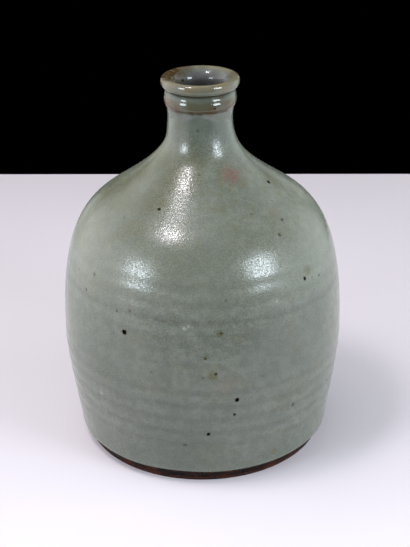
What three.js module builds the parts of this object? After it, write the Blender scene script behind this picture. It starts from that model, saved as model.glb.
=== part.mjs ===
// A stoneware bottle, thrown on the wheel in three sections and turned at the foot.
// Millimetres, +Z up, the origin at the middle of the ring that it stands on.
import * as THREE from "three";

// The bottle's main sizes.
const HEIGHT = 225;
const BELLY_RADIUS = 84.4;
const BELLY_HEIGHT = 68;
const GLAZE = 0.5;
const GLAZE_CLEARANCE = 0.01;
const SIDES = 36;

// The foot: a bare ring that leans out to the line where the glaze stops.
const GLAZE_LINE = 8.5;
const GLAZE_LINE_RADIUS = 77.1;
const FOOT_OUTER_RADIUS = 72.8;
const FOOT_INNER_RADIUS = 63.5;
const FOOT_EDGE_ROUNDING = 0.8;
const RECESS_DEPTH = 4;

// The floor: a disc whose spigot drops into the foot ring, with the wall standing round it.
const FLOOR_TOP = 13;
const SPIGOT_RADIUS = 62;
const FLOOR_RADIUS = 66;

// The lute between the two body sections: a groove outside, packed with slip.
const BELLY_SEAM_LOW = point(82.2, 106.5);
const BELLY_SEAM_HIGH = point(81.4, 111.4);
const BELLY_SEAM_ROOT = point(79, 109);
const INNER_BELLY_SEAM = point(76.6, 109);

// Where the shoulder stops curving out and starts to sweep up into the neck.
const SHOULDER_TURN = point(56.8, 155.4);
const INNER_TURN = point(54.2, 151.6);

// The lute between the shoulder and the neck.
const NECK_SEAM_LOW = point(30.2, 175.1);
const NECK_SEAM_HIGH = point(27.9, 177.4);
const NECK_SEAM_ROOT = point(27.3, 174.5);
const INNER_NECK_SEAM = point(25.6, 172.8);

// The neck, the raised cordon round it and the lip.
const NECK_WAIST = point(18.8, 202);
const BORE_RADIUS = 14.6;
const BORE_LOW = 189;
const CORDON_LOW = point(19.6, 208.2);
const CORDON_CREST = point(20.9, 211.6);
const CORDON_SEAT_RADIUS = 17.2;
const LIP_GROOVE = point(18.4, 218.2);
const LIP_BULGE = point(22.6, 222.4);
const LIP_CREST_RADIUS = 20.4;
const LIP_INSIDE = point(15.6, 222.8);
const LIP_JOINT_INSIDE = point(13.5, 218.4);

// A place on the bottle's section: its distance from the axis and its height.
function point(radius, height) {
  return new THREE.Vector2(radius, height);
}

// The points of a smooth sweep from one place to another, without the first one.
function sweep(from, firstHandle, secondHandle, to, steps) {
  const curve = new THREE.CubicBezierCurve(from, firstHandle, secondHandle, to);
  return curve.getPoints(steps).slice(1);
}

// The glazed surface is one line: up the outside, over the lip and down the inside to the floor.
const skin = [point(GLAZE_LINE_RADIUS, GLAZE_LINE)];
const mark = { glazeLine: 0 };

// Adds a stretch to the line and keeps the number of its last point under a name.
function follow(name, points) {
  skin.push(...points);
  mark[name] = skin.length - 1;
}

// Up the outside, from the glaze line to the neck.
const belly = point(BELLY_RADIUS, BELLY_HEIGHT);
follow("belly", sweep(skin[0], point(78.8, 22), point(BELLY_RADIUS, 54), belly, 5));
follow("bellySeamLow", sweep(belly, point(BELLY_RADIUS, 83.4), point(83.6, 96.1), BELLY_SEAM_LOW, 3));
follow("bellySeamHigh", [BELLY_SEAM_HIGH]);
follow("shoulderTurn", sweep(BELLY_SEAM_HIGH, point(77, 137.4), point(67.9, 147.9), SHOULDER_TURN, 6));
follow("neckSeamLow", sweep(SHOULDER_TURN, point(45.3, 163.1), point(36.4, 169.1), NECK_SEAM_LOW, 4));
follow("neckSeamHigh", [NECK_SEAM_HIGH]);
follow("neckWaist", sweep(NECK_SEAM_HIGH, point(22.1, 183.7), point(18.8, 190.5), NECK_WAIST, 5));

// The cordon and the lip.
const crest = point(LIP_CREST_RADIUS, HEIGHT);
follow("cordonLow", sweep(NECK_WAIST, point(18.8, 204.5), point(19.3, 206.5), CORDON_LOW, 2));
follow("cordonCrest", sweep(CORDON_LOW, point(20.4, 209), point(20.9, 210.2), CORDON_CREST, 2));
follow("lipGroove", sweep(CORDON_CREST, point(20.9, 214.2), point(19.9, 217), LIP_GROOVE, 3));
follow("lipBulge", sweep(LIP_GROOVE, point(20.4, 218.5), point(22.6, 219.4), LIP_BULGE, 4));
follow("lipCrest", sweep(LIP_BULGE, point(22.6, 224.2), point(21.8, HEIGHT), crest, 3));
follow("lipInside", sweep(crest, point(19, HEIGHT), point(17, 224.2), LIP_INSIDE, 3));

// Down the inside, through the bore and under the shoulder to the middle of the floor.
const bore = point(BORE_RADIUS, BORE_LOW);
const insideBelly = point(79, BELLY_HEIGHT);
const floorEdge = point(FLOOR_RADIUS, FLOOR_TOP + GLAZE);
const floorMiddle = point(0, FLOOR_TOP + GLAZE);
follow("lipJoint", sweep(LIP_INSIDE, point(14.6, 221.8), point(13.7, 220.3), LIP_JOINT_INSIDE, 3));
follow("bore", sweep(LIP_JOINT_INSIDE, point(13.4, 212), point(BORE_RADIUS, 204), bore, 3));
follow("neckJoint", sweep(bore, point(BORE_RADIUS, 185), point(19.4, 179), INNER_NECK_SEAM, 3));
follow("insideTurn", sweep(INNER_NECK_SEAM, point(31.8, 166.6), point(42.4, 159.5), INNER_TURN, 2));
follow("bellyJoint", sweep(INNER_TURN, point(65.2, 144.2), point(72.9, 134.5), INNER_BELLY_SEAM, 4));
follow("insideBelly", sweep(INNER_BELLY_SEAM, point(78.1, 97), point(79, 84), insideBelly, 2));
follow("floorEdge", sweep(insideBelly, point(79, 40), point(72.5, FLOOR_TOP + GLAZE), floorEdge, 5));
follow("floorMiddle", [floorMiddle]);

// A line at some depth under the skin, square to it. It stops level with the glaze line.
function underSkin(depth) {
  const line = skin.map((place, i) => {
    const before = skin[Math.max(i - 1, 0)];
    const after = skin[Math.min(i + 1, skin.length - 1)];
    const along = after.clone().sub(before).normalize();
    return point(place.x - along.y * depth, place.y + along.x * depth);
  });
  line[0].y = GLAZE_LINE;
  line[mark.floorEdge].set(FLOOR_RADIUS, skin[mark.floorEdge].y - depth);
  line[mark.floorMiddle].x = 0;
  return line;
}

// The underside of the coat, and the clay a hair's breadth below it.
const coatUnderside = underSkin(GLAZE);
const clay = underSkin(GLAZE + GLAZE_CLEARANCE);

// The stretch of a line from one named point to another.
function between(line, from, to) {
  return line.slice(mark[from], mark[to] + 1);
}

// A solid of revolution round Z, from a section that closes on itself.
function turned(name, section, material) {
  const closed = [...section, section[0]];
  const geometry = new THREE.LatheGeometry(closed, SIDES);
  geometry.rotateX(Math.PI / 2);
  const mesh = new THREE.Mesh(geometry, material);
  mesh.name = name;
  return mesh;
}

// Stoneware that is grey where glaze covers it and burnt dark where it is bare.
const stoneware = new THREE.MeshStandardMaterial({ color: 0x9a9488, roughness: 0.8, metalness: 0 });
const bareStoneware = new THREE.MeshStandardMaterial({ color: 0x35211c, roughness: 0.55, metalness: 0 });
const slip = new THREE.MeshStandardMaterial({ color: 0xa39c8e, roughness: 0.85, metalness: 0 });
const celadon = new THREE.MeshStandardMaterial({ color: 0x7b8379, roughness: 0.25, metalness: 0 });

// The floor's spigot hangs inside the foot ring and forms the roof of the recess under the bottle.
function floorDisc() {
  const section = [
    point(0, RECESS_DEPTH),
    point(SPIGOT_RADIUS, RECESS_DEPTH),
    point(SPIGOT_RADIUS, GLAZE_LINE),
    point(FLOOR_RADIUS, GLAZE_LINE),
    clay[mark.floorEdge],
    clay[mark.floorMiddle],
  ];
  return turned("floor_disc", section, bareStoneware);
}

// The foot ring has a flat underside, which the bottle rests on, and a side that leans outwards.
function footRing() {
  const section = [
    point(FOOT_INNER_RADIUS + FOOT_EDGE_ROUNDING, 0),
    point(FOOT_OUTER_RADIUS - FOOT_EDGE_ROUNDING, 0),
    point(FOOT_OUTER_RADIUS, FOOT_EDGE_ROUNDING),
    clay[0],
    point(SPIGOT_RADIUS, GLAZE_LINE),
    point(SPIGOT_RADIUS, RECESS_DEPTH),
    point(FOOT_INNER_RADIUS, FOOT_EDGE_ROUNDING),
  ];
  return turned("foot_ring", section, bareStoneware);
}

// The lower body stands on the foot ring, round the floor, and ends in a bevel for the lute.
function lowerWall() {
  const section = [
    ...between(clay, "glazeLine", "bellySeamLow"),
    BELLY_SEAM_ROOT,
    ...between(clay, "bellyJoint", "floorEdge"),
    point(FLOOR_RADIUS, GLAZE_LINE),
  ];
  return turned("lower_wall", section, stoneware);
}

// The upper body closes in over the lower one, with a bevel at both ends.
function shoulderDome() {
  const section = [
    ...between(clay, "bellySeamHigh", "neckSeamLow"),
    NECK_SEAM_ROOT,
    ...between(clay, "neckJoint", "bellyJoint"),
    BELLY_SEAM_ROOT,
  ];
  return turned("shoulder_dome", section, stoneware);
}

// The neck is luted to the shoulder, and has a seat turned round its top for the cordon.
function neckTube() {
  const section = [
    ...between(clay, "neckSeamHigh", "cordonLow"),
    point(CORDON_SEAT_RADIUS, CORDON_LOW.y),
    point(CORDON_SEAT_RADIUS, LIP_GROOVE.y),
    ...between(clay, "lipJoint", "neckJoint"),
    NECK_SEAM_ROOT,
  ];
  return turned("neck_tube", section, stoneware);
}

// The cordon is a rounded ring that sits in its seat, just below the lip.
function neckCordon() {
  const section = [
    ...between(clay, "cordonLow", "lipGroove"),
    point(CORDON_SEAT_RADIUS, LIP_GROOVE.y),
    point(CORDON_SEAT_RADIUS, CORDON_LOW.y),
  ];
  return turned("neck_cordon", section, stoneware);
}

// The lip rolls out over the cordon, and its inside falls as a funnel to the bore.
function mouthLip() {
  const section = [
    ...between(clay, "lipGroove", "lipJoint"),
    point(CORDON_SEAT_RADIUS, LIP_GROOVE.y),
  ];
  return turned("mouth_lip", section, stoneware);
}

// The slip that fills the two luting grooves.
function bellySeamSlip() {
  const section = [...between(clay, "bellySeamLow", "bellySeamHigh"), BELLY_SEAM_ROOT];
  return turned("belly_seam_slip", section, slip);
}

function neckSeamSlip() {
  const section = [...between(clay, "neckSeamLow", "neckSeamHigh"), NECK_SEAM_ROOT];
  return turned("neck_seam_slip", section, slip);
}

// A coat of glaze lies between the skin and the clay.
function glazeCoat(name, from, to) {
  const section = [...between(skin, from, to), ...between(coatUnderside, from, to).reverse()];
  return turned(name, section, celadon);
}

const bottle = new THREE.Group();
bottle.add(
  floorDisc(),
  footRing(),
  lowerWall(),
  bellySeamSlip(),
  shoulderDome(),
  neckSeamSlip(),
  neckTube(),
  neckCordon(),
  mouthLip(),
  glazeCoat("outer_glaze", "glazeLine", "lipInside"),
  glazeCoat("inner_glaze", "lipInside", "floorMiddle"),
);

export default bottle;
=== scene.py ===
import math

import bpy
import numpy as np
from mathutils import Matrix, Quaternion, Vector


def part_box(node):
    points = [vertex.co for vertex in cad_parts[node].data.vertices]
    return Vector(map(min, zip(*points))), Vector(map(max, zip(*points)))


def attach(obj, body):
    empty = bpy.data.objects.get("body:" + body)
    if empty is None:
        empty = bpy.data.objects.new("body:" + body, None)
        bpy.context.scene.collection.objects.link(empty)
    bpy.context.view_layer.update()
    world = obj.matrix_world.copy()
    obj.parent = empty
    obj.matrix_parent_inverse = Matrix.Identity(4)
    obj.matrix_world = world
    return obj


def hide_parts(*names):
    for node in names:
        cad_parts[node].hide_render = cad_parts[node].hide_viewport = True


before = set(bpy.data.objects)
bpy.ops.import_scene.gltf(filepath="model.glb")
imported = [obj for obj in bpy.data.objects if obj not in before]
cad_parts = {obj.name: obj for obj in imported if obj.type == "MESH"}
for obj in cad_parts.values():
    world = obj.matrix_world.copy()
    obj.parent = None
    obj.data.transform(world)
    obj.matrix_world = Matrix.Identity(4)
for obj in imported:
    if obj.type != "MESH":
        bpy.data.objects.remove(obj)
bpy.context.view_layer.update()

# A stoneware bottle with a celadon glaze, thrown in three sections and turned at the foot.
# Blender's unit here is the metre. Sizes are given in millimetres and multiplied by MM.
MM = 0.001

# Main sizes, from the frame where a piece's box gives them.
GLAZE_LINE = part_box("outer_glaze")[0].z / MM
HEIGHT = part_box("outer_glaze")[1].z / MM
BELLY_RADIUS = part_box("outer_glaze")[1].x / MM
FOOT_OUTER_RADIUS = 72.8
FOOT_INNER_RADIUS = 63.5
RECESS_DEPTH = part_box("floor_disc")[0].z / MM
FLOOR_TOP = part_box("floor_disc")[1].z / MM
FLOOR_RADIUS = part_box("floor_disc")[1].x / MM
SPIGOT_RADIUS = 62
BELLY_HEIGHT = 68
GLAZE = 0.5
CORDON_SEAT_RADIUS = 17.2

# How finely the clay and the glaze are meshed.
SIDES = 288
HIDDEN_SIDES = 96
BODY_SPACING = 1.1
LIP_SPACING = 0.35
HIDDEN_SPACING = 3.5
JOINT_STEP = 0.03

# Throwing marks: a spiral ridge in each body section, a finger's width from turn to turn, and the
# seam between the sections. Each pair is the heights where a change starts and ends.
RING_PITCH = 9.3
LOWER_RIDGE = 43.0
LOWER_RIDGE_RISE = 0.13
UPPER_RIDGE = 114
UPPER_RIDGE_RISE = 0.13
LOWER_MARKS_START = (22, 34)
LOWER_MARKS_WEAKEN = (64, 74)
LOWER_MARKS_END = (88, 98)
UPPER_MARKS_START = (98, 106)
UPPER_MARKS_END = (127, 139)
SEAM_HEIGHT = 109
SEAM_TILT = 2.2
SEAM_STRENGTH = 0.8

# Two soft ridges round the cordon, and fine rings in the bore.
CORDON_RIDGE = 212.5
CORDON_RIDGE_RISE = 0.085
CORDON_RIDGE_PITCH = 3.8
CORDON_RIDGES_START = (211.5, 212.8)
CORDON_RIDGES_END = (216.6, 217.6)
BORE_RING_RISE = 0.08
BORE_RING_PITCH = 5.5
BORE_RINGS_START = (178, 190)
BORE_RINGS_END = (214, 220)

# The hand's unevenness: how far each thing strays.
OUT_OF_ROUND = 0.25
OUT_OF_ROUND_START = (20, 60)
OUT_OF_ROUND_END = (120, 180)
MOUTH_LEAN = 0.3
NECK_HOLLOW = 0.8
NECK_HOLLOW_HEIGHT = 187
NECK_ROOT_HOLLOW = 0.8
NECK_ROOT_HOLLOW_HEIGHT = 180
CORDON_WAVER = 0.15
LIP_WAVER = 0.12
GLAZE_EDGE_WAVER = 0.45
GLAZE_EDGE_BEAD = 0.16


def point(radius, height):
    """A place on the bottle's section: its distance from the axis and its height, in millimetres."""
    return np.array([radius, height], float)


def sweep(start, first_handle, second_handle, end, spacing):
    """Points along a smooth sweep, about one spacing apart, without the first one."""
    count = max(2, round(float(np.linalg.norm(end - start)) / spacing))
    t = np.linspace(0, 1, count + 1)[1:, None]
    near = (1 - t) ** 3 * start + 3 * (1 - t) ** 2 * t * first_handle
    far = 3 * (1 - t) * t**2 * second_handle + t**3 * end
    return near + far


# Places on the section where the sections, the cordon and the lip meet.
BELLY = point(BELLY_RADIUS, BELLY_HEIGHT)
BELLY_SEAM_LOW = point(82.2, 106.5)
BELLY_SEAM_HIGH = point(81.4, 111.4)
BELLY_SEAM_ROOT = point(79, 109)
INNER_BELLY_SEAM = point(76.6, 109)
SHOULDER_TURN = point(56.8, 155.4)
INNER_TURN = point(54.2, 151.6)
NECK_SEAM_LOW = point(30.2, 175.1)
NECK_SEAM_HIGH = point(27.9, 177.4)
NECK_SEAM_ROOT = point(27.3, 174.5)
INNER_NECK_SEAM = point(25.6, 172.8)
NECK_WAIST = point(18.8, 202)
BORE = point(14.6, 189)
CORDON_LOW = point(19.6, 208.2)
CORDON_CREST = point(20.9, 211.6)
LIP_GROOVE = point(18.4, 218.2)
LIP_BULGE = point(22.6, 222.4)
LIP_CREST = point(20.4, HEIGHT)
LIP_INSIDE = point(15.6, 222.8)
LIP_JOINT_INSIDE = point(13.5, 218.4)


class Line:
    """A line round the bottle's section, with a name for each place that a stretch ends at."""

    def __init__(self, start, name):
        self.points = [start]
        self.marks = {name: 0}

    def follow(self, name, points):
        self.points.extend(points)
        self.marks[name] = len(self.points) - 1

    def to(self, name, first_handle, second_handle, end, spacing):
        self.follow(name, sweep(self.points[-1], first_handle, second_handle, end, spacing))

    def between(self, start, end):
        return np.array(self.points[self.marks[start] : self.marks[end] + 1])


def skin_line(body_spacing, lip_spacing):
    """The glazed surface: up the outside, over the lip and down the inside to the floor."""
    top = HEIGHT
    floor = FLOOR_TOP + GLAZE
    line = Line(point(77.1, GLAZE_LINE), "glaze_line")
    line.to("belly", point(78.8, 22), point(BELLY_RADIUS, 54), BELLY, body_spacing)
    line.to("belly_seam_low", point(BELLY_RADIUS, 83.4), point(83.6, 96.1), BELLY_SEAM_LOW, body_spacing)
    line.to("belly_seam_high", point(81.93, 108.1), point(81.66, 109.8), BELLY_SEAM_HIGH, body_spacing)
    line.to("shoulder_turn", point(77, 137.4), point(67.9, 147.9), SHOULDER_TURN, body_spacing)
    line.to("neck_seam_low", point(45.3, 163.1), point(36.4, 169.1), NECK_SEAM_LOW, body_spacing)
    line.to("neck_seam_high", point(29.4, 175.9), point(28.7, 176.6), NECK_SEAM_HIGH, body_spacing)
    line.to("neck_waist", point(22.1, 183.7), point(18.8, 190.5), NECK_WAIST, body_spacing)
    line.to("cordon_low", point(18.8, 204.5), point(19.3, 206.5), CORDON_LOW, lip_spacing)
    line.to("cordon_crest", point(20.4, 209), point(20.9, 210.2), CORDON_CREST, lip_spacing)
    line.to("lip_groove", point(20.9, 214.6), point(20.2, 217.4), LIP_GROOVE, lip_spacing)
    line.to("lip_bulge", point(20.4, 218.5), point(22.6, 219.4), LIP_BULGE, lip_spacing)
    line.to("lip_crest", point(22.6, 224.2), point(21.8, top), LIP_CREST, lip_spacing)
    line.to("lip_inside", point(19, top), point(17, 224.2), LIP_INSIDE, lip_spacing)
    line.to("lip_joint", point(14.6, 221.8), point(13.7, 220.3), LIP_JOINT_INSIDE, lip_spacing)
    line.to("bore", point(13.4, 212), point(14.6, 204), BORE, body_spacing)
    line.to("neck_joint", point(14.6, 185), point(19.4, 179), INNER_NECK_SEAM, body_spacing)
    line.to("inner_turn", point(31.8, 166.6), point(42.4, 159.5), INNER_TURN, HIDDEN_SPACING)
    line.to("belly_joint", point(65.2, 144.2), point(72.9, 134.5), INNER_BELLY_SEAM, HIDDEN_SPACING)
    line.to("inner_belly", point(78.1, 97), point(79, 84), point(79, BELLY_HEIGHT), HIDDEN_SPACING)
    line.to("floor_edge", point(79, 40), point(72.5, floor), point(FLOOR_RADIUS, floor), HIDDEN_SPACING)
    line.follow("floor_middle", [point(0, floor)])
    return line


def under(line, depth):
    """The same line at some depth under it, square to it."""
    places = np.array(line.points)
    along = np.gradient(places, axis=0)
    along[0] = places[1] - places[0]
    along[-1] = places[-1] - places[-2]
    along /= np.linalg.norm(along, axis=1)[:, None]
    inner = places + depth * np.stack([-along[:, 1], along[:, 0]], axis=1)
    inner[0, 1] = GLAZE_LINE
    edge = line.marks["floor_edge"]
    inner[edge] = (FLOOR_RADIUS, places[edge, 1] - depth)
    inner[-1, 0] = 0
    lower = Line(inner[0], "glaze_line")
    lower.points = list(inner)
    lower.marks = dict(line.marks)
    return lower


def rise(x, start, end):
    """0 before start, 1 after end and smooth between them."""
    t = np.clip((x - start) / (end - start), 0, 1)
    return t * t * (3 - 2 * t)


def bump(x, middle, width):
    """A soft hump of height 1."""
    return np.exp(-(((x - middle) / width) ** 2))


def slow(angle, turns, phases):
    """A slow change round the bottle, from about -1 to 1."""
    waves = [np.cos(n * angle + p) / (i + 1) for i, (n, p) in enumerate(zip(turns, phases))]
    return sum(waves) / sum(1 / (i + 1) for i in range(len(waves)))


def spiral(height, angle, ridge):
    """1 on the crest of the throwing spiral and -1 in its valley."""
    turns = (height - ridge) / RING_PITCH + angle / (2 * math.pi)
    return np.cos(2 * math.pi * turns)


def throwing_marks(height, angle):
    """The throwing rings and the body's seam, from 1 on a strong crest to -1 in a valley."""
    lower = rise(height, *LOWER_MARKS_START) * (1 - 0.75 * rise(height, *LOWER_MARKS_WEAKEN))
    lower = lower * (1 - rise(height, *LOWER_MARKS_END))
    upper = rise(height, *UPPER_MARKS_START) * (1 - rise(height, *UPPER_MARKS_END))
    lower_strength = 0.85 + 0.25 * slow(angle, (1, 3), (0, 1.9))
    upper_strength = 0.8 + 0.25 * slow(angle, (1, 2, 5), (0, 0, 0.9))
    marks = lower * lower_strength * spiral(height, angle, LOWER_RIDGE)
    marks = marks + upper * upper_strength * spiral(height, angle, UPPER_RIDGE)
    seam = SEAM_HEIGHT - SEAM_TILT * np.sin(angle) + 0.3 * slow(angle, (2, 3), (0.5, 2.0))
    seam_waver = 0.55 + 0.45 * slow(angle, (1, 4), (0, 0))
    return marks - SEAM_STRENGTH * bump(height, seam, 1.3) * seam_waver


def mark_rise(height, angle):
    """How far a mark of strength 1 stands out. The shoulder's are fainter at the sides."""
    turned_away = 1 - rise(np.abs(np.cos(angle)), 0.5, 0.8)
    upper = UPPER_RIDGE_RISE * (1 - 0.9 * turned_away)
    return LOWER_RIDGE_RISE + (upper - LOWER_RIDGE_RISE) * rise(height, 90, 104)


def outer_relief(height, angle):
    """How far the outside stands out from its smooth section."""
    body = rise(height, *OUT_OF_ROUND_START) * (1 - rise(height, *OUT_OF_ROUND_END))
    relief = throwing_marks(height, angle) * mark_rise(height, angle)
    relief = relief - OUT_OF_ROUND * body * (0.5 + 0.5 * slow(angle, (2, 3), (0.7, 2.6)))
    relief = relief + GLAZE_EDGE_BEAD * bump(height, GLAZE_LINE + 1.6, 1.1)
    left = 0.5 - 0.5 * np.sin(angle)
    relief = relief - NECK_HOLLOW * bump(height, NECK_HOLLOW_HEIGHT, 6.5) * left
    front = rise(np.cos(angle), 0.2, 0.8)
    relief = relief - NECK_ROOT_HOLLOW * bump(height, NECK_ROOT_HOLLOW_HEIGHT, 6) * front
    lip = rise(height, 218, 222)
    relief = relief - LIP_WAVER * lip * (0.5 + 0.5 * slow(angle, (2, 3, 5), (1.1, 0.2, 2.0)))
    cordon = bump(height, CORDON_CREST[1], 3)
    relief = relief - CORDON_WAVER * cordon * (0.5 + 0.5 * slow(angle, (1, 4), (2.2, 0.6)))
    ridges = rise(height, *CORDON_RIDGES_START) * (1 - rise(height, *CORDON_RIDGES_END))
    wave = np.cos(2 * math.pi * (height - CORDON_RIDGE) / CORDON_RIDGE_PITCH)
    return relief + CORDON_RIDGE_RISE * ridges * wave


def inner_relief(height, angle):
    """The same for the inside, which shows only in the neck and the mouth."""
    neck = rise(height, *BORE_RINGS_START) * (1 - rise(height, *BORE_RINGS_END))
    turns = height / BORE_RING_PITCH + angle / (2 * math.pi)
    return BORE_RING_RISE * neck * np.cos(2 * math.pi * turns)


def lift(height, angle):
    """How far a place moves up or down: the lip and the lower edge of the glaze aren't quite level."""
    edge = bump(height, GLAZE_LINE, 1.5) * rise(height, GLAZE_LINE - 0.2, GLAZE_LINE)
    lip = rise(height, 216, 224)
    lip_fall = LIP_WAVER * lip * (0.5 + 0.5 * slow(angle, (1, 2, 5), (2.8, 0.4, 1.7)))
    return GLAZE_EDGE_WAVER * edge * slow(angle, (3, 7, 11), (0.3, 1.2, 2.5)) - lip_fall


def lean(height):
    """The mouth stands a little to the right of the body."""
    return MOUTH_LEAN * rise(height, 196, 212)


# The mesh attribute that tells the glaze where the throwing marks are.
MARKS = "throwing_marks"


def turned_piece(name, section, outside, material, sides=SIDES):
    """A closed piece, turned from its section. outside is 1 where the outer relief applies."""
    angles = np.arange(sides) * 2 * math.pi / sides
    radius = section[:, :1]
    height = section[:, 1:]
    outside = np.broadcast_to(np.asarray(outside, float), len(section))[:, None]
    relief = outside * outer_relief(height, angles) + (1 - outside) * inner_relief(height, angles)
    off_axis = radius > 0
    reach = radius + relief * off_axis
    x = reach * np.sin(angles) + lean(height)
    y = -reach * np.cos(angles)
    z = height + lift(height, angles)
    rings = np.stack([x, y, z], axis=2) * MM
    marks = outside * throwing_marks(height, angles)

    poles = (section[:, 0] == 0).tolist()
    counts = [1 if pole else sides for pole in poles]
    starts = np.cumsum([0] + counts).tolist()
    vertices = np.concatenate([ring[:count] for ring, count in zip(rings, counts)])
    mark_values = np.concatenate([row[:count] for row, count in zip(marks, counts)])
    around = [(a, (a + 1) % sides) for a in range(sides)]
    faces = []
    for i in range(len(section)):
        j = (i + 1) % len(section)
        low = starts[i]
        high = starts[j]
        if poles[i] and poles[j]:
            continue
        if poles[i]:
            faces += [(low, high + b, high + a) for a, b in around]
        elif poles[j]:
            faces += [(low + a, low + b, high) for a, b in around]
        else:
            faces += [(low + a, low + b, high + b, high + a) for a, b in around]

    mesh = bpy.data.meshes.new(name)
    mesh.from_pydata(vertices.tolist(), [], faces)
    mesh.polygons.foreach_set("use_smooth", [True] * len(mesh.polygons))
    mesh.attributes.new(MARKS, "FLOAT", "POINT").data.foreach_set("value", mark_values)
    mesh.materials.append(material)
    mesh.update()
    piece = bpy.data.objects.new(name, mesh)
    bpy.context.collection.objects.link(piece)
    return piece


def stands_for(piece, node_name):
    """The piece takes the place of a node of the frame."""
    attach(piece, "root")
    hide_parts(node_name)


def node(tree, kind, inputs=None, **settings):
    """Adds a shader node. inputs holds values or sockets, by the input's name or number."""
    made = tree.nodes.new(kind)
    for name, value in settings.items():
        setattr(made, name, value)
    for name, value in (inputs or {}).items():
        socket = made.inputs[name]
        if isinstance(value, bpy.types.NodeSocket):
            tree.links.new(value, socket)
        else:
            socket.default_value = value
    return made


def maths(tree, operation, *values):
    """One step of arithmetic on values or sockets."""
    return node(tree, "ShaderNodeMath", dict(enumerate(values)), operation=operation).outputs[0]


def times(tree, first, *others):
    """The product of masks or numbers."""
    for other in others:
        first = maths(tree, "MULTIPLY", first, other)
    return first


def vector_maths(tree, operation, inputs, output="Vector"):
    """One step of arithmetic on places or directions."""
    return node(tree, "ShaderNodeVectorMath", inputs, operation=operation).outputs[output]


def mix(tree, share, first, second):
    """A colour between the first and the second."""
    inputs = {"Factor": share, 6: first, 7: second}
    return node(tree, "ShaderNodeMix", inputs, data_type="RGBA").outputs[2]


def tint(tree, share, colour, factor):
    """The colour times a factor for each of red, green and blue, by some share."""
    inputs = {"Factor": share, 6: colour, 7: (*factor, 1)}
    return node(tree, "ShaderNodeMix", inputs, data_type="RGBA", blend_type="MULTIPLY").outputs[2]


def smooth_step(tree, value, start, end, low=0.0, high=1.0):
    """Maps a value from start..end to low..high with soft ends."""
    inputs = {"Value": value, "From Min": start, "From Max": end, "To Min": low, "To Max": high}
    made = node(tree, "ShaderNodeMapRange", inputs, interpolation_type="SMOOTHSTEP")
    return made.outputs["Result"]


def by_height(tree, height, start, end, low=0.0, high=1.0):
    """The same for a height or a distance, with start and end in millimetres."""
    return smooth_step(tree, height, start * MM, end * MM, low, high)


def noise(tree, place, size, detail=2.0, roughness=0.5, distortion=0.0):
    """Noise whose patches are about size millimetres across."""
    inputs = {"Vector": place, "Scale": 1 / (size * MM), "Detail": detail}
    inputs.update({"Roughness": roughness, "Distortion": distortion})
    return node(tree, "ShaderNodeTexNoise", inputs).outputs["Fac"]


def height_of(tree, place):
    """How far a place is above the table."""
    return node(tree, "ShaderNodeSeparateXYZ", {"Vector": place}).outputs["Z"]


def axis_distance(tree, place):
    """How far a place is from the bottle's axis."""
    split = node(tree, "ShaderNodeSeparateXYZ", {"Vector": place})
    flat = node(tree, "ShaderNodeCombineXYZ", {"X": split.outputs["X"], "Y": split.outputs["Y"]})
    return vector_maths(tree, "LENGTH", {0: flat.outputs[0]}, "Value")


def raise_surface(tree, shader, height, strength, distance):
    """Bumps the shader's surface by a distance in millimetres where the height is 1."""
    relief = {"Height": height, "Strength": strength, "Distance": distance * MM}
    tree.links.new(node(tree, "ShaderNodeBump", relief).outputs[0], shader.inputs["Normal"])


def new_group(name, inputs, outputs):
    """An empty shader group with named sockets, and its input and output nodes."""
    tree = bpy.data.node_groups.new(name, "ShaderNodeTree")
    for label, kind in inputs:
        tree.interface.new_socket(label, in_out="INPUT", socket_type=kind)
    for label, kind in outputs:
        tree.interface.new_socket(label, in_out="OUTPUT", socket_type=kind)
    return tree, node(tree, "NodeGroupInput"), node(tree, "NodeGroupOutput")


def use_group(tree, group, inputs):
    """Places a shared group in a material, with the material's own values."""
    return node(tree, "ShaderNodeGroup", inputs, node_tree=group).outputs


COLOUR = "NodeSocketColor"
NUMBER = "NodeSocketFloat"
VECTOR = "NodeSocketVector"

# How far apart the pinholes and the small dark specks may lie.
PINHOLE_SPACING = 2.4
SPECK_SPACING = 7
# How large the patches in the glaze are.
CLOUD_SIZE = 55
OLIVE_SIZE = 22
MOTTLE_SIZE = 9
BLOTCH_SIZE = 7
FLECK_SIZE = 3.8
PEEL_SIZE = 3.4
GRAIN_SIZE = 2.0
BUBBLE_SIZE = 0.8
# The ragged edges of spots and smears: how large their teeth are and how far they reach.
RAGGED_SIZE = 2.2
RAGGED_REACH = 1.6
# How far the fine surface stands out on the glaze, the liner, the bare clay and the hidden clay.
GLAZE_SURFACE_RISE = 0.08
LINER_SURFACE_RISE = 0.05
BARE_SURFACE_RISE = 0.25
HIDDEN_SURFACE_RISE = 0.3
# How strongly the glaze bends light, and how little the bare clay shines.
GLAZE_IOR = 1.6
BARE_SPECULAR = 0.06


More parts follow.
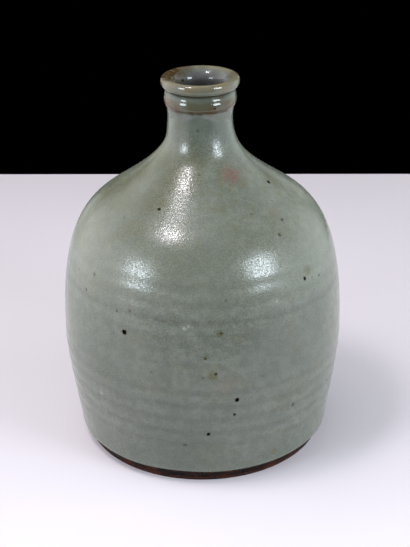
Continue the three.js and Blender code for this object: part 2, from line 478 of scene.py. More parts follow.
def glaze_depth_group():
    """Cloudy glaze: broad clouds, small mottling and the darker, greener glaze that pools."""
    inputs = [("Place", VECTOR), ("Pale", COLOUR), ("Body", COLOUR), ("Pooled", COLOUR), ("Olive", COLOUR)]
    tree, start, end = new_group("glaze_depth", inputs, [("Colour", COLOUR)])
    given = start.outputs
    place = given["Place"]
    clouds = smooth_step(tree, noise(tree, place, CLOUD_SIZE, 3, 0.55), 0.36, 0.66)
    colour = mix(tree, clouds, given["Body"], given["Pale"])
    mottle = smooth_step(tree, noise(tree, place, MOTTLE_SIZE, 4, 0.62, 0.4), 0.35, 0.68)
    colour = mix(tree, times(tree, mottle, 0.42), colour, given["Pooled"])
    olive = smooth_step(tree, noise(tree, place, OLIVE_SIZE, 3, 0.6, 0.6), 0.5, 0.7, 0, 0.5)
    colour = mix(tree, olive, colour, given["Olive"])
    grain = smooth_step(tree, noise(tree, place, GRAIN_SIZE, 2, 0.55), 0.3, 0.7)
    colour = mix(tree, times(tree, grain, 0.2), colour, given["Pooled"])
    flecks = smooth_step(tree, noise(tree, place, FLECK_SIZE, 2, 0.55), 0.35, 0.65, 0, 0.45)
    colour = mix(tree, flecks, colour, given["Pooled"])
    tree.links.new(colour, end.inputs["Colour"])
    return tree


def glaze_skin_group():
    """The fine surface of fired glaze: orange peel, a grain of tiny bubbles and open pinholes."""
    inputs = [("Place", VECTOR), ("Peel", NUMBER), ("Grain", NUMBER)]
    tree, start, end = new_group("glaze_skin", inputs, [("Height", NUMBER)])
    place = start.outputs["Place"]
    peel = times(tree, noise(tree, place, PEEL_SIZE, 2, 0.5), start.outputs["Peel"])
    grain = times(tree, noise(tree, place, BUBBLE_SIZE, 1, 0.6), start.outputs["Grain"], 0.85)
    cells = node(tree, "ShaderNodeTexVoronoi", {"Vector": place, "Scale": 1 / (PINHOLE_SPACING * MM)})
    chosen = node(tree, "ShaderNodeSeparateColor", {"Color": cells.outputs["Color"]}).outputs["Red"]
    rare = smooth_step(tree, chosen, 0.72, 0.76)
    hole = smooth_step(tree, cells.outputs["Distance"], 0.06, 0.16, 1, 0)
    pinholes = times(tree, rare, hole, 0.5)
    height = maths(tree, "SUBTRACT", maths(tree, "ADD", peel, grain), pinholes)
    tree.links.new(height, end.inputs["Height"])
    return tree


def turning_group():
    """Marks that a turning tool or a finger leaves in bare clay: fine level lines, broken by grit."""
    inputs = [("Place", VECTOR), ("Spacing", NUMBER), ("Grit", NUMBER)]
    tree, start, end = new_group("turning_marks", inputs, [("Height", NUMBER), ("Streaks", NUMBER)])
    place = start.outputs["Place"]
    lines_per_metre = maths(tree, "DIVIDE", 1.0, times(tree, start.outputs["Spacing"], MM))
    inputs = {"X": times(tree, axis_distance(tree, place), lines_per_metre)}
    inputs["Y"] = times(tree, height_of(tree, place), lines_per_metre)
    inputs["Z"] = times(tree, noise(tree, place, 14, 2), 2.5)
    line = node(tree, "ShaderNodeCombineXYZ", inputs).outputs[0]
    streaks = node(tree, "ShaderNodeTexNoise", {"Vector": line, "Scale": 1.0, "Detail": 3.0}).outputs["Fac"]
    grit = times(tree, noise(tree, place, 0.5, 3, 0.7), start.outputs["Grit"], 0.5)
    tree.links.new(maths(tree, "ADD", streaks, grit), end.inputs["Height"])
    tree.links.new(streaks, end.inputs["Streaks"])
    return tree


def new_material(name):
    """A material with its Principled shader, its surface output and the object's own coordinates."""
    material = bpy.data.materials.new(name)
    material.use_nodes = True
    tree = material.node_tree
    shader = tree.nodes["Principled BSDF"]
    place = node(tree, "ShaderNodeTexCoord").outputs["Object"]
    return material, tree, shader, place


def wall_place(angle, height):
    """Where a spot is on the outside of the wall, by its angle to the right of the front, in degrees."""
    wall = SKIN.between("glaze_line", "lip_bulge")
    radius = float(np.interp(height, wall[:, 1], wall[:, 0]))
    turn = math.radians(angle)
    return Vector((radius * math.sin(turn), -radius * math.cos(turn), height)) * MM


def rim_place(angle, distance):
    """Where a spot is on the top of the lip, by its angle and its distance from the axis."""
    rim = SKIN.between("lip_crest", "lip_joint")[::-1]
    height = float(np.interp(distance, rim[:, 0], rim[:, 1]))
    turn = math.radians(angle)
    return Vector((distance * math.sin(turn), -distance * math.cos(turn), height)) * MM


def spots(tree, place, places, softness, where=wall_place):
    """The spots' strength at a place. Each has an angle, a height or distance, a radius and a strength."""
    total = None
    for angle, level, radius, strength in places:
        centre = where(angle, level)
        away = vector_maths(tree, "DISTANCE", {0: place, 1: centre}, "Value")
        inner = radius * (1 - softness) * MM
        outer = radius * (1 + softness) * MM
        spot = smooth_step(tree, away, inner, outer, strength, 0.0)
        total = spot if total is None else maths(tree, "MAXIMUM", total, spot)
    return total


# Iron spots in the glaze: angle to the right of the front, height, radius and strength.
IRON_SPOTS = [
    (-32, 98.7, 1.4, 1.0),
    (47, 122.5, 1.1, 1.0),
    (13, 60.5, 1.35, 1.0),
    (12, 50.5, 0.85, 0.85),
    (1.7, 37.5, 1.05, 1.0),
    (-29, 161, 1.05, 0.9),
    (69, 165.7, 1.1, 0.9),
    (48.5, 152.7, 1.0, 0.45),
    (41, 147.8, 0.95, 0.45),
    (4.8, 78.6, 0.8, 0.75),
    (7.0, 103.4, 0.7, 0.6),
    (0.9, 88.6, 0.7, 0.6),
    (57, 119.5, 0.9, 0.55),
    (-51, 124.6, 1.0, 0.5),
    (-55, 113.7, 1.0, 0.5),
    (-23, 125.7, 0.9, 0.5),
    (-4, 198.5, 1.0, 0.2),
    (-8, 29, 1.1, 0.5),
    (39, 46, 1.2, 0.45),
    (-30, 112, 0.9, 0.4),
    (-36, 110, 0.9, 0.4),
    (23, 211.4, 0.9, 0.9),
    (118, 88, 1.3, 0.9),
    (141, 52, 1.1, 0.8),
    (163, 131, 1.4, 0.95),
    (-171, 70, 1.2, 0.8),
    (-148, 108, 1.0, 0.7),
    (-133, 40, 1.4, 0.9),
    (-104, 139, 1.1, 0.8),
    (97, 24, 1.2, 0.7),
]
OLIVE_BLOTS = [
    (3.6, 77.4, 2.6, 0.8),
    (6.5, 103, 1.8, 0.7),
    (50, 126, 2.8, 0.6),
    (32, 15.5, 2.2, 0.6),
    (1, 88.8, 1.6, 0.5),
    (-28, 163.5, 2.4, 0.5),
    (152, 96, 2.6, 0.7),
    (-118, 62, 2.2, 0.6),
]
PINK_FLUSHES = [
    (35, 174.5, 5.0, 0.95),
    (48, 156, 3.5, 0.3),
    (9, 70.5, 4.5, 0.25),
    (-160, 150, 6, 0.5),
]
# Olive smears on the shoulder. Those near its left edge, from about -50 to -87 degrees, also stand for a
# dark band of reflection there: painted reflection.
OLIVE_SMEARS_AND_REFLECTIONS = [
    (-24, 173, 13, 0.95),
    (-17, 184, 11, 0.8),
    (-34, 163, 11, 0.9),
    (-37, 152, 9, 0.6),
    (-68, 160, 14, 0.6),
    (-50, 172, 11, 0.4),
    (-12, 145, 16, 0.35),
    (20, 140, 18, 0.25),
    (-78, 163, 10, 0.9),
    (-87, 158, 10, 0.9),
    (-74, 171, 10, 0.9),
    (-58, 179, 9, 0.8),
    (-78, 183, 8, 0.6),
    (80, 166, 8, 0.5),
]
# Pale flecks on the crests of the throwing marks, where the glaze is thin; some are painted glints of light
# on the crests.
PALE_FLECKS_AND_GLINTS = [
    (-7, 106.3, 1.2, 0.35),
    (-5.5, 107.6, 0.7, 0.3),
    (31, 116.2, 1.0, 0.3),
    (-46, 51.5, 1.4, 0.3),
]
# An iron spot's olive halo: its size and strength, as multiples of the spot's own.
HALO_SIZE = 1.7
HALO_STRENGTH = 0.4
# Rusty patches on the cordon: angle, height, radius and strength.
CORDON_RUST = [
    (-58, 212.5, 3.6, 0.9),
    (-40, 210, 3, 0.9),
    (-72, 211, 3, 0.7),
    (18, 209.3, 2.4, 0.9),
    (30, 210, 2.4, 0.8),
    (50, 212, 3.4, 0.8),
    (66, 211, 3, 0.6),
    (36, 216, 2.2, 0.7),
    (150, 211, 4, 0.6),
    (-140, 210, 3, 0.6),
]
# Where the glaze on the rim is burnt brown: angle, distance from the axis, radius and strength.
RIM_BURNS = [
    (-95, 17.5, 8, 1.0),
    (-125, 18, 7, 1.0),
    (-72, 19, 4, 0.7),
    (-155, 19.5, 5, 0.7),
    (175, 20, 3.5, 0.35),
    (100, 20, 3.5, 0.4),
]
MOUTH_SPECKS = [(-134, 13.7, 0.9, 1.0)]


# The colours of the outer glaze, from its body to the places where it is thin or pooled, and some painted
# light and shade.
PALE_GLAZE = (0.235, 0.248, 0.206, 1)
BODY_GLAZE = (0.178, 0.193, 0.156, 1)
POOLED_GLAZE = (0.11, 0.127, 0.102, 1)
OLIVE_GLAZE = (0.178, 0.178, 0.11, 1)
# Olive glaze, and painted dark reflection along the left edge of the shoulder.
OLIVE_SMEAR_AND_REFLECTION = (0.095, 0.097, 0.048, 1)
OLIVE_BLOTCH = (0.135, 0.132, 0.072, 1)
OLIVE_BLOT = (0.1, 0.1, 0.03, 1)
IRON_HALO = (0.1, 0.1, 0.06, 1)
IRON_BLACK = (0.003, 0.003, 0.001, 1)
PINK_FLUSH = (0.2, 0.105, 0.085, 1)
# Pale flecks, partly painted glints.
PALE_FLECK_AND_GLINT = (0.5, 0.5, 0.45, 1)
DARK_SPECK = (0.05, 0.053, 0.03, 1)
# Painted light: the crown of the belly is paler where it turns up towards the light from above.
CROWN_PAINTED_LIGHT = (0.235, 0.25, 0.205, 1)
NECK_GLAZE = (0.1, 0.122, 0.104, 1)
EDGE_GLAZE = (0.16, 0.19, 0.15, 1)
CORDON_BROWN = (0.09, 0.083, 0.048, 1)
RUST_PATCH = (0.095, 0.052, 0.015, 1)
RUST_LINE = (0.055, 0.028, 0.009, 1)
# Painted shade in the groove under the lip.
GROOVE_SHADE = (0.05, 0.04, 0.022, 1)
RIM_OLIVE = (0.205, 0.168, 0.1, 1)
RIM_BURNT = (0.055, 0.032, 0.01, 1)
LOW_TINT = (0.785, 0.795, 0.785)
VALLEY_TINT = (0.79, 0.79, 0.77)

# The colours of the liner glaze.
PALE_LINER = (0.13, 0.13, 0.125, 1)
BODY_LINER = (0.1, 0.1, 0.097, 1)
POOLED_LINER = (0.075, 0.078, 0.075, 1)
OLIVE_LINER = (0.1, 0.095, 0.07, 1)
# Painted shade down in the bore.
BORE_SHADE_LINER = (0.03, 0.029, 0.027, 1)
MOUTH_SPECK = (0.006, 0.006, 0.004, 1)

# Where the glaze changes with height: each change starts at the first height and ends at the second.
EDGE_ROLL = (9.5, 13)
LOW_SHADE = (15, 115)
BLOTCHES_GATHER = (110, 150)
# The crown's painted light rises and fades between these heights.
CROWN_LIGHT_STARTS = (100, 125)
CROWN_LIGHT_ENDS = (135, 170)
NECK_DARKENS = (178, 194)
WET_SHEEN = (190, 206)
RUST_STARTS = (207.8, 208.8)
RUST_ENDS = (209.4, 211.8)
BROWN_STARTS = (208.4, 209.8)
BROWN_ENDS = (214.0, 216.6)
GROOVE_STARTS = (216.6, 218)
GROOVE_ENDS = (218.6, 219.4)
RIM_STARTS = (218.6, 219.6)
RIM_DEEPENS = (218.8, 224.2)
# The painted shade in the bore fades out between these heights, towards the mouth.
BORE_SHADE_FADES = (212, 220.5)
# How far from the axis the rim's olive starts and is full.
RIM_OLIVE_REACH = (16, 19.5)


def clouded_glaze(tree, depth, place, pale, body, pooled, olive):
    """A coat's own cloudy colour, before anything else is mixed into it."""
    colours = {"Pale": pale, "Body": body, "Pooled": pooled, "Olive": olive}
    return use_group(tree, depth, {"Place": place, **colours})["Colour"]


def ragged_place(tree, place):
    """The place, stirred a little, so that spots and smears get ragged edges."""
    inputs = {"Vector": place, "Scale": 1 / (RAGGED_SIZE * MM), "Detail": 2.0}
    stirred = node(tree, "ShaderNodeTexNoise", inputs).outputs["Color"]
    centred = vector_maths(tree, "SUBTRACT", {0: stirred, 1: (0.5, 0.5, 0.5)})
    shift = vector_maths(tree, "SCALE", {0: centred, "Scale": RAGGED_REACH * MM})
    return vector_maths(tree, "ADD", {0: place, 1: shift})


def olive_patches(tree, place, ragged, height, colour):
    """Olive smears on the shoulder, partly painted dark reflection along its left edge, and small blotches,
    which gather on the upper half.
    """
    # Olive smears, partly painted dark reflection along the left edge of the shoulder.
    colour = mix(tree, spots(tree, ragged, OLIVE_SMEARS_AND_REFLECTIONS, 0.8), colour, OLIVE_SMEAR_AND_REFLECTION)
    blotches = smooth_step(tree, noise(tree, place, BLOTCH_SIZE, 4, 0.65, 0.5), 0.48, 0.66, 0, 0.6)
    blotches = times(tree, blotches, by_height(tree, height, *BLOTCHES_GATHER, 0.25, 1))
    return mix(tree, blotches, colour, OLIVE_BLOTCH)


def shaded_by_height(tree, height, marks, colour):
    """Darker towards the foot, in the valleys and on the neck; the paler crown of the belly is painted
    light, where it turns up to the light.
    """
    colour = tint(tree, by_height(tree, height, *LOW_SHADE, 1, 0), colour, LOW_TINT)
    colour = tint(tree, smooth_step(tree, marks, 0.8, -1.7, 0, 1), colour, VALLEY_TINT)
    # Painted light on the crown of the belly.
    crown = by_height(tree, height, *CROWN_LIGHT_STARTS, 0, 0.35)
    crown = times(tree, crown, by_height(tree, height, *CROWN_LIGHT_ENDS, 1, 0.3))
    colour = mix(tree, crown, colour, CROWN_PAINTED_LIGHT)
    return mix(tree, by_height(tree, height, *NECK_DARKENS, 0, 0.5), colour, NECK_GLAZE)


def flushes_and_spots(tree, place, ragged, colour):
    """Pink flushes, olive blots, iron spots in their halos, and pale flecks that are partly painted glints.
    Gives the iron's mask too.
    """
    broken = smooth_step(tree, noise(tree, place, 2.5, 3, 0.6), 0.3, 0.62, 0.2, 1)
    flush = times(tree, spots(tree, ragged, PINK_FLUSHES, 0.9), broken)
    colour = mix(tree, flush, colour, PINK_FLUSH)
    colour = mix(tree, spots(tree, ragged, OLIVE_BLOTS, 0.45), colour, OLIVE_BLOT)
    halos = [
        (angle, level, radius * HALO_SIZE, strength * HALO_STRENGTH)
        for angle, level, radius, strength in IRON_SPOTS
    ]
    colour = mix(tree, spots(tree, ragged, halos, 0.4), colour, IRON_HALO)
    iron = spots(tree, ragged, IRON_SPOTS, 0.16)
    colour = mix(tree, iron, colour, IRON_BLACK)
    # Pale flecks on the ring crests, partly painted glints.
    colour = mix(tree, spots(tree, ragged, PALE_FLECKS_AND_GLINTS, 0.4), colour, PALE_FLECK_AND_GLINT)
    return colour, iron


def small_specks(tree, ragged, colour):
    """Small dark specks of many sizes, all over."""
    cells = node(tree, "ShaderNodeTexVoronoi", {"Vector": ragged, "Scale": 1 / (SPECK_SPACING * MM)})
    chosen = node(tree, "ShaderNodeSeparateColor", {"Color": cells.outputs["Color"]}).outputs
    size = smooth_step(tree, chosen["Green"], 0, 1, 0.05, 0.12)
    near = maths(tree, "DIVIDE", cells.outputs["Distance"], size)
    dot = smooth_step(tree, near, 0.6, 1.3, 1, 0)
    rare = smooth_step(tree, chosen["Red"], 0.45, 0.9, 0, 0.7)
    return mix(tree, times(tree, dot, rare), colour, DARK_SPECK)


def browned_cordon(tree, place, height, colour):
    """Thin glaze on the cordon: brown, with rust in patches and along its lower edge."""
    level = maths(tree, "ADD", height, times(tree, noise(tree, place, 9, 2), 1.2 * MM))
    brown = times(tree, by_height(tree, level, *BROWN_STARTS), by_height(tree, level, *BROWN_ENDS, 1, 0.1))
    colour = mix(tree, times(tree, brown, 0.85), colour, CORDON_BROWN)
    mottled = smooth_step(tree, noise(tree, place, 2.4, 3, 0.6), 0.35, 0.6, 0.25, 1)
    patches = times(tree, spots(tree, place, CORDON_RUST, 0.7), mottled)
    colour = mix(tree, patches, colour, RUST_PATCH)
    ragged_edge = smooth_step(tree, noise(tree, place, 4, 3, 0.65), 0.36, 0.6, 0.25, 1)
    line = times(tree, by_height(tree, level, *RUST_STARTS), by_height(tree, level, *RUST_ENDS, 1, 0))
    return mix(tree, times(tree, line, ragged_edge), colour, RUST_LINE)


def painted_groove_shade(tree, height, colour):
    """Painted shade: dark brown in the tight groove under the lip's overhang."""
    groove = by_height(tree, height, *GROOVE_STARTS)
    groove = times(tree, groove, by_height(tree, height, *GROOVE_ENDS, 1, 0))
    return mix(tree, times(tree, groove, 0.8), colour, GROOVE_SHADE)


def browned_rim(tree, place, height, colour):
    """The lip's glaze is thin: olive all round, and burnt brown in places on the rim."""
    olive = by_height(tree, height, *RIM_DEEPENS, 0.4, 1)
    olive = times(tree, olive, by_height(tree, height, *RIM_STARTS))
    olive = times(tree, olive, by_height(tree, axis_distance(tree, place), *RIM_OLIVE_REACH))
    patches = smooth_step(tree, noise(tree, place, 8, 3, 0.6), 0.38, 0.62, 0.45, 0.95)
    colour = mix(tree, times(tree, olive, patches), colour, RIM_OLIVE)
    mottled = smooth_step(tree, noise(tree, place, 3, 3, 0.6), 0.3, 0.55, 0.45, 1)
    burns = times(tree, spots(tree, place, RIM_BURNS, 0.6, rim_place), mottled)
    return mix(tree, burns, colour, RIM_BURNT)


def glaze_sheen(tree, place, wet):
    """Satin with matt grain where it is seen face on, and glossier on the neck and the lip."""
    slant = node(tree, "ShaderNodeLayerWeight", {"Blend": 0.5}).outputs["Facing"]
    face_on = smooth_step(tree, slant, 0.3, 0.7, 1, 0.2)
    matt = smooth_step(tree, noise(tree, place, 0.9, 2, 0.6), 0.42, 0.62, 0.0, 0.3)
    matt = times(tree, matt, face_on, smooth_step(tree, wet, 0, 1, 1, 0.15))
    gloss = smooth_step(tree, noise(tree, place, 5, 3), 0.35, 0.65, 0.12, 0.2)
    gloss = times(tree, gloss, smooth_step(tree, wet, 0, 1, 1, 0.4))
    return maths(tree, "ADD", gloss, matt)


def celadon_glaze(depth, skin):
    """The outer coat, with its iron spots, its flushes and the brown where it is thin."""
    material, tree, shader, place = new_material("celadon_glaze")
    marks = node(tree, "ShaderNodeAttribute", attribute_name=MARKS).outputs["Fac"]
    height = height_of(tree, place)
    ragged = ragged_place(tree, place)
    colour = clouded_glaze(tree, depth, place, PALE_GLAZE, BODY_GLAZE, POOLED_GLAZE, OLIVE_GLAZE)
    colour = olive_patches(tree, place, ragged, height, colour)
    colour = shaded_by_height(tree, height, marks, colour)
    colour, iron = flushes_and_spots(tree, place, ragged, colour)
    colour = small_specks(tree, ragged, colour)
    colour = browned_cordon(tree, place, height, colour)
    # Painted shade in the groove under the lip.
    colour = painted_groove_shade(tree, height, colour)
    colour = browned_rim(tree, place, height, colour)
    colour = mix(tree, by_height(tree, height, *EDGE_ROLL, 0.3, 0), colour, EDGE_GLAZE)
    tree.links.new(colour, shader.inputs["Base Color"])
    tree.links.new(iron, shader.inputs["Metallic"])

    wet = by_height(tree, height, *WET_SHEEN)
    coarse = smooth_step(tree, wet, 0, 1, 1, 0.35)
    surface = use_group(tree, skin, {"Place": place, "Peel": coarse, "Grain": coarse})
    raise_surface(tree, shader, surface["Height"], 1.0, GLAZE_SURFACE_RISE)
    tree.links.new(glaze_sheen(tree, place, wet), shader.inputs["Roughness"])
    shader.inputs["Diffuse Roughness"].default_value = 1.0
    shader.inputs["IOR"].default_value = GLAZE_IOR
    return material


def liner_glaze(depth, skin):
    """The inner coat: greyer than the outer one, with painted shade down in the neck."""
    material, tree, shader, place = new_material("liner_glaze")
    height = height_of(tree, place)
    colour = clouded_glaze(tree, depth, place, PALE_LINER, BODY_LINER, POOLED_LINER, OLIVE_LINER)
    # Painted shade, deepening down the bore.
    colour = mix(tree, by_height(tree, height, *BORE_SHADE_FADES, 0.75, 0), colour, BORE_SHADE_LINER)
    colour = browned_rim(tree, place, height, colour)
    colour = mix(tree, spots(tree, place, MOUTH_SPECKS, 0.2, rim_place), colour, MOUTH_SPECK)
    tree.links.new(colour, shader.inputs["Base Color"])
    surface = use_group(tree, skin, {"Place": place, "Peel": 1.0, "Grain": 0.3})
    raise_surface(tree, shader, surface["Height"], 1.0, LINER_SURFACE_RISE)
    gloss = smooth_step(tree, noise(tree, place, 9, 2), 0.3, 0.7, 0.06, 0.13)
    tree.links.new(gloss, shader.inputs["Roughness"])
    return material


# The colours of the clay.
BURNT_CLAY = (0.003, 0.002, 0.002, 1)
RED_BURNT_CLAY = (0.04, 0.013, 0.009, 1)
RED_STREAK = (0.1, 0.036, 0.024, 1)
CLAY_FLECK = (0.2, 0.1, 0.07, 1)
PALE_STONEWARE = (0.36, 0.33, 0.28, 1)
DARK_STONEWARE = (0.28, 0.25, 0.21, 1)
PALE_SLIP = (0.42, 0.38, 0.31, 1)
DARK_SLIP = (0.34, 0.30, 0.25, 1)


def bare_stoneware(turning):
    """Iron-bearing clay, burnt dark, with reddish streaks and hardly any sheen."""
    material, tree, shader, place = new_material("bare_stoneware")
    marks = use_group(tree, turning, {"Place": place, "Spacing": 0.8, "Grit": 1.0})
    flame = smooth_step(tree, noise(tree, place, 16, 4, 0.6), 0.45, 0.62)
    colour = mix(tree, flame, BURNT_CLAY, RED_BURNT_CLAY)
    streak = smooth_step(tree, marks["Streaks"], 0.52, 0.64, 0, 0.7)
    colour = mix(tree, streak, colour, RED_STREAK)
    flecks = smooth_step(tree, noise(tree, place, 1.2, 2, 0.5), 0.66, 0.72, 0, 0.7)
    colour = mix(tree, flecks, colour, CLAY_FLECK)
    tree.links.new(colour, shader.inputs["Base Color"])
    raise_surface(tree, shader, marks["Height"], 0.8, BARE_SURFACE_RISE)
    tree.links.new(smooth_step(tree, flame, 0, 1, 0.6, 0.8), shader.inputs["Roughness"])
    shader.inputs["Specular IOR Level"].default_value = BARE_SPECULAR
    return material


def fired_clay(name, turning, pale, dark, grit):
    """Clay under the glaze, which shows only where the bottle is cut."""
    material, tree, shader, place = new_material(name)
    marks = use_group(tree, turning, {"Place": place, "Spacing": 1.4, "Grit": grit})
    shade = smooth_step(tree, noise(tree, place, 4, 4, 0.65), 0.35, 0.65)
    tree.links.new(mix(tree, shade, dark, pale), shader.inputs["Base Color"])
    raise_surface(tree, shader, marks["Height"], 0.7, HIDDEN_SURFACE_RISE)
    tree.links.new(smooth_step(tree, shade, 0, 1, 0.75, 0.9), shader.inputs["Roughness"])
    return material


def make_glaze_coats(glaze, liner):
    """The outer coat, from its rolled edge over the lip, and the liner from there down to the floor."""
    # Where the coats meet, each has a ring of points just before its end, so that the shading runs
    # on smoothly from one to the other.
    fine = SKIN.between("glaze_line", "lip_inside")
    almost = fine[-1] + JOINT_STEP * (fine[-2] - fine[-1])
    back = CLAY.between("glaze_line", "lip_inside")[::-1]
    section = np.concatenate([fine[:-1], [almost], fine[-1:], back])
    outer = turned_piece("outer_glaze_coat", section, 1.0, glaze)
    stands_for(outer, "outer_glaze")

    fine = SKIN.between("lip_inside", "floor_middle")
    almost = fine[0] + JOINT_STEP * (fine[1] - fine[0])
    back = CLAY.between("lip_inside", "floor_middle")[::-1]
    section = np.concatenate([fine[:1], [almost], fine[1:], back])
    # The liner starts with the lip's relief and loses it down the funnel.
    first = SKIN.marks["lip_joint"] - SKIN.marks["lip_inside"]
    share = np.zeros(len(section))
    share[:first] = np.linspace(1, 0, first)
    share[-1] = 1
    inner = turned_piece("inner_glaze_coat", section, share, liner)
    stands_for(inner, "inner_glaze")


def make_foot(bare):
    """The bare foot ring, with eased edges, and the floor with its turned recess."""
    inside = FOOT_INNER_RADIUS
    outside = FOOT_OUTER_RADIUS
    ring = Line(point(inside + 1.2, 0), "inner_edge")
    ring.follow("flat", [point(r, 0) for r in np.linspace(inside + 2, outside - 1.2, 6)])
    ring.to("corner", point(72.4, 0), point(72.7, 0.2), point(outside, 0.9), 0.25)
    ring.to("bevel", point(73.9, 3.2), point(75.2, 5.8), point(76.6, GLAZE_LINE), 0.7)
    ring.follow("top", [point(SPIGOT_RADIUS, GLAZE_LINE), point(SPIGOT_RADIUS, RECESS_DEPTH)])
    ring.to("side", point(62.6, 3.4), point(63.3, 1.6), point(inside + 0.3, 0.6), 0.5)
    foot = turned_piece("bare_foot_ring", np.array(ring.points), 0.0, bare)
    stands_for(foot, "foot_ring")

    under_side = [point(r, RECESS_DEPTH) for r in np.linspace(0, SPIGOT_RADIUS, 32)]
    rest = [point(SPIGOT_RADIUS, GLAZE_LINE), point(FLOOR_RADIUS, GLAZE_LINE)]
    rest += [point(FLOOR_RADIUS, FLOOR_TOP), point(0, FLOOR_TOP)]
    floor = turned_piece("turned_floor", np.array(under_side + rest), 0.0, bare)
    stands_for(floor, "floor_disc")


def clay_section(name, node_name, outer, rest, material):
    """A luted piece of clay or slip: its outer face has the outer relief, and the rest has none of it."""
    places = np.concatenate([outer, *(np.atleast_2d(part) for part in rest)])
    share = np.zeros(len(places))
    share[: len(outer)] = 1
    stands_for(turned_piece(name, places, share, material, HIDDEN_SIDES), node_name)


def make_clay_sections(stoneware, slip):
    """The luted sections under the glaze, from the foot up, and the slip in their joints."""
    wall = CLAY.between("glaze_line", "belly_seam_low")
    rest = [BELLY_SEAM_ROOT, CLAY.between("belly_joint", "floor_edge"), point(FLOOR_RADIUS, GLAZE_LINE)]
    clay_section("lower_clay", "lower_wall", wall, rest, stoneware)
    dome = CLAY.between("belly_seam_high", "neck_seam_low")
    rest = [NECK_SEAM_ROOT, CLAY.between("neck_joint", "belly_joint"), BELLY_SEAM_ROOT]
    clay_section("shoulder_clay", "shoulder_dome", dome, rest, stoneware)
    seat_low = point(CORDON_SEAT_RADIUS, CORDON_LOW[1])
    seat_high = point(CORDON_SEAT_RADIUS, LIP_GROOVE[1])
    neck = CLAY.between("neck_seam_high", "cordon_low")
    rest = [seat_low, seat_high, CLAY.between("lip_joint", "neck_joint"), NECK_SEAM_ROOT]
    clay_section("neck_clay", "neck_tube", neck, rest, stoneware)
    cordon = CLAY.between("cordon_low", "lip_groove")
    clay_section("cordon_clay", "neck_cordon", cordon, [seat_high, seat_low], stoneware)
    lip = CLAY.between("lip_groove", "lip_joint")
    clay_section("lip_clay", "mouth_lip", lip, [seat_high], stoneware)
    seam = CLAY.between("belly_seam_low", "belly_seam_high")
    clay_section("belly_slip", "belly_seam_slip", seam, [BELLY_SEAM_ROOT], slip)
    seam = CLAY.between("neck_seam_low", "neck_seam_high")
    clay_section("neck_slip", "neck_seam_slip", seam, [NECK_SEAM_ROOT], slip)


# The floor: its half width, its near and far edges, how far it is turned, and its colour.
FLOOR_HALF_WIDTH = 0.5
FLOOR_NEAR = -0.27
FLOOR_FAR = 0.431
FLOOR_TURN = math.radians(-1.9)
FLOOR_COLOUR = (0.68, 0.628, 0.678, 1)

# The camera, in metres and degrees, and its lens and sensor in millimetres.
CAMERA_DISTANCE = 0.680
CAMERA_HEIGHT = 0.426
CAMERA_DOWN = math.radians(25.57)
CAMERA_RIGHT = math.radians(0.15)
CAMERA_ROLL = math.radians(-0.69)
LENS = 81.4
SENSOR = 36

# What the lights are aimed at, and their colours.
SHOULDER = (0, 0, 0.13)
MIDDLE = (0, 0, 0.1)
UNDER_OVERHEAD_LIGHT = (-0.242, -0.147, 0)
COOL_WHITE = (0.82, 0.93, 1.0)
ROSY_WHITE = (1, 0.955, 1)
FILL_WHITE = (0.96, 0.99, 1)
# The lights: where each stands, its aim, its width and length, its turn, its power and its colour.
LIGHTS = [
    ("front_left_light", (-0.605, -0.425, 0.33), SHOULDER, 0.26, 0.25, 0, 2.6, COOL_WHITE),
    ("front_right_light", (0.57, -0.45, 0.40), SHOULDER, 0.29, 0.31, 0, 4.35, COOL_WHITE),
    ("overhead_light", (-0.242, -0.148, 0.80), UNDER_OVERHEAD_LIGHT, 0.14, 0.21, -0.34, 2.5, ROSY_WHITE),
]
FILL_LIGHTS = [
    ("left_fill_light", (-0.85, -0.06, 0.28), MIDDLE, 0.5, 0.5, 0, 3.2, FILL_WHITE),
    ("right_fill_light", (0.85, -0.06, 0.28), MIDDLE, 0.5, 0.5, 0, 4.3, FILL_WHITE),
]


def make_floor():
    """A plain pale floor that ends a little way behind the bottle."""
    x = FLOOR_HALF_WIDTH
    corners = [(-x, FLOOR_NEAR, 0), (x, FLOOR_NEAR, 0), (x, FLOOR_FAR, 0), (-x, FLOOR_FAR, 0)]
    mesh = bpy.data.meshes.new("floor")
    mesh.from_pydata(corners, [], [(0, 1, 2, 3)])
    floor = bpy.data.objects.new("floor", mesh)
    floor.matrix_world = Matrix.Rotation(FLOOR_TURN, 4, "Z")
    bpy.context.collection.objects.link(floor)
    material, _, shader, _ = new_material("pale_floor")
    shader.inputs["Base Color"].default_value = FLOOR_COLOUR
    shader.inputs["Roughness"].default_value = 0.6
    mesh.materials.append(material)


def make_light(name, place, aim, width, length, turn, power, colour):
    """A soft rectangular light, which the camera doesn't see."""
    lamp = bpy.data.lights.new(name, "AREA")
    lamp.shape = "RECTANGLE"
    lamp.size = width
    lamp.size_y = length
    lamp.energy = power
    lamp.color = colour
    light = bpy.data.objects.new(name, lamp)
    light.location = place
    facing = (Vector(aim) - Vector(place)).to_track_quat("-Z", "Y")
    light.rotation_euler = (facing @ Quaternion((0, 0, 1), turn)).to_euler()
    light.visible_camera = False
    bpy.context.collection.objects.link(light)
    return light


def make_lights():
    """Two bluish lights in front, a rosy one overhead to the left, and soft fills that don't reflect."""
    for light in LIGHTS:
        make_light(*light)
    for light in FILL_LIGHTS:
        make_light(*light).visible_glossy = False


# The soft light of the room. The side glows lie low, to the left and right. Each has its strength,
# and both have faded at the same elevation, whose sine is given. The broad glows come from above:
# where each comes from, its spread in degrees and its strength.
LEFT_GLOW = 1.2
RIGHT_GLOW = 1.1
SIDE_GLOW_TOP = 0.8
LEFT_COLOUR = (1.0, 0.995, 0.98, 1)
RIGHT_COLOUR = (0.94, 0.995, 1.02, 1)
ROOM_GLOWS = [
    ((-0.6, 0.1, 0.75), 70, 0.78),
    ((0.1, -0.6, 0.75), 60, 0.08),
]
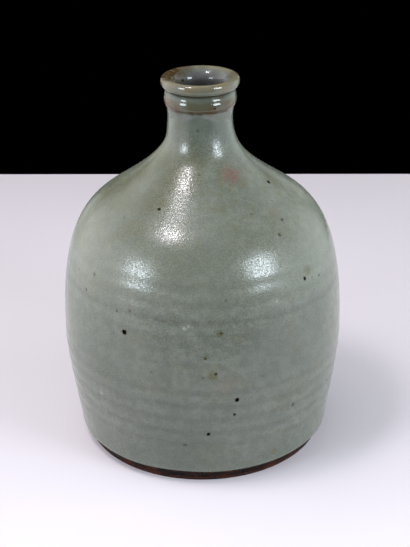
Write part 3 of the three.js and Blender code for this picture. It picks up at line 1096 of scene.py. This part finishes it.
# Upright panels behind the bottle: their sides in degrees to the right of straight back, how soft
# each side is, the elevations of their bottom and top, and strength. Their images run along the
# edges of the shoulder.
ROOM_PANELS = [
    (-75, -36, 25, 1.5, -25, 45, 0.5),
    (-33, -21, 2, 2, -14, 5, 0.7),
    (17, 27, 2, 1.5, -1, 14, 0.5),
    (37, 75, 1.5, 25, -25, 45, 0.5),
]
# How soft the panels' bottoms and tops are, in degrees.
PANEL_BOTTOM_SOFT = 2
PANEL_TOP_SOFT = 4


def angle_band(tree, angle, start, end, start_soft, end_soft):
    """1 between two angles in degrees, with soft sides."""
    opens = smooth_step(tree, angle, math.radians(start - start_soft), math.radians(start + start_soft))
    closes = smooth_step(tree, angle, math.radians(end - end_soft), math.radians(end + end_soft), 1, 0)
    return times(tree, opens, closes)


def make_room():
    """Soft light from both sides and above; straight in front and straight behind the room is dark."""
    world = bpy.data.worlds.new("soft_room")
    world.use_nodes = True
    tree = world.node_tree
    direction = node(tree, "ShaderNodeTexCoord").outputs["Generated"]
    total = 0.0
    for source, spread, strength in ROOM_GLOWS:
        axis = Vector(source).normalized()
        toward = vector_maths(tree, "DOT_PRODUCT", {0: direction, 1: axis}, "Value")
        glow = smooth_step(tree, toward, math.cos(math.radians(spread)), 1, 0, strength)
        total = maths(tree, "ADD", total, glow)
    split = node(tree, "ShaderNodeSeparateXYZ", {"Vector": direction}).outputs
    turn = maths(tree, "ARCTAN2", split["X"], split["Y"])
    elevation = maths(tree, "ARCSINE", split["Z"])
    sideways = maths(tree, "SINE", turn)
    low = smooth_step(tree, split["Z"], 0.05, SIDE_GLOW_TOP, 1, 0)
    left_glow = smooth_step(tree, sideways, -0.5, -1, 0, LEFT_GLOW)
    right_glow = smooth_step(tree, sideways, 0.5, 1, 0, RIGHT_GLOW)
    sides = times(tree, maths(tree, "ADD", left_glow, right_glow), low)
    total = maths(tree, "ADD", total, sides)
    for left, right, left_soft, right_soft, bottom, top, strength in ROOM_PANELS:
        across = angle_band(tree, turn, left, right, left_soft, right_soft)
        upright = angle_band(tree, elevation, bottom, top, PANEL_BOTTOM_SOFT, PANEL_TOP_SOFT)
        total = maths(tree, "ADD", total, times(tree, across, upright, strength))
    background = tree.nodes["Background"]
    tree.links.new(total, background.inputs["Strength"])
    colour = mix(tree, smooth_step(tree, sideways, -0.7, 0.7), LEFT_COLOUR, RIGHT_COLOUR)
    tree.links.new(colour, background.inputs["Color"])
    bpy.context.scene.world = world


def make_camera():
    """The camera stands where the photograph's did: in front, above, and looking down."""
    lens = bpy.data.cameras.new("camera")
    lens.lens = LENS
    lens.sensor_width = SENSOR
    camera = bpy.data.objects.new("camera", lens)
    place = Matrix.Translation((0, -CAMERA_DISTANCE, CAMERA_HEIGHT))
    heading = Matrix.Rotation(-CAMERA_RIGHT, 4, "Z")
    tilt = Matrix.Rotation(math.pi / 2 - CAMERA_DOWN, 4, "X")
    camera.matrix_world = place @ heading @ tilt @ Matrix.Rotation(CAMERA_ROLL, 4, "Z")
    bpy.context.collection.objects.link(camera)
    bpy.context.scene.camera = camera
    bpy.context.scene.view_settings.view_transform = "Standard"


SKIN = skin_line(BODY_SPACING, LIP_SPACING)
CLAY = under(skin_line(HIDDEN_SPACING, 3 * LIP_SPACING), GLAZE)

depth_group = glaze_depth_group()
skin_group = glaze_skin_group()
marks_group = turning_group()
bare = bare_stoneware(marks_group)
stoneware = fired_clay("stoneware", marks_group, PALE_STONEWARE, DARK_STONEWARE, 1.0)
slip = fired_clay("luting_slip", marks_group, PALE_SLIP, DARK_SLIP, 0.4)

make_camera()
make_foot(bare)
make_clay_sections(stoneware, slip)
make_glaze_coats(celadon_glaze(depth_group, skin_group), liner_glaze(depth_group, skin_group))
make_floor()
make_lights()
make_room()
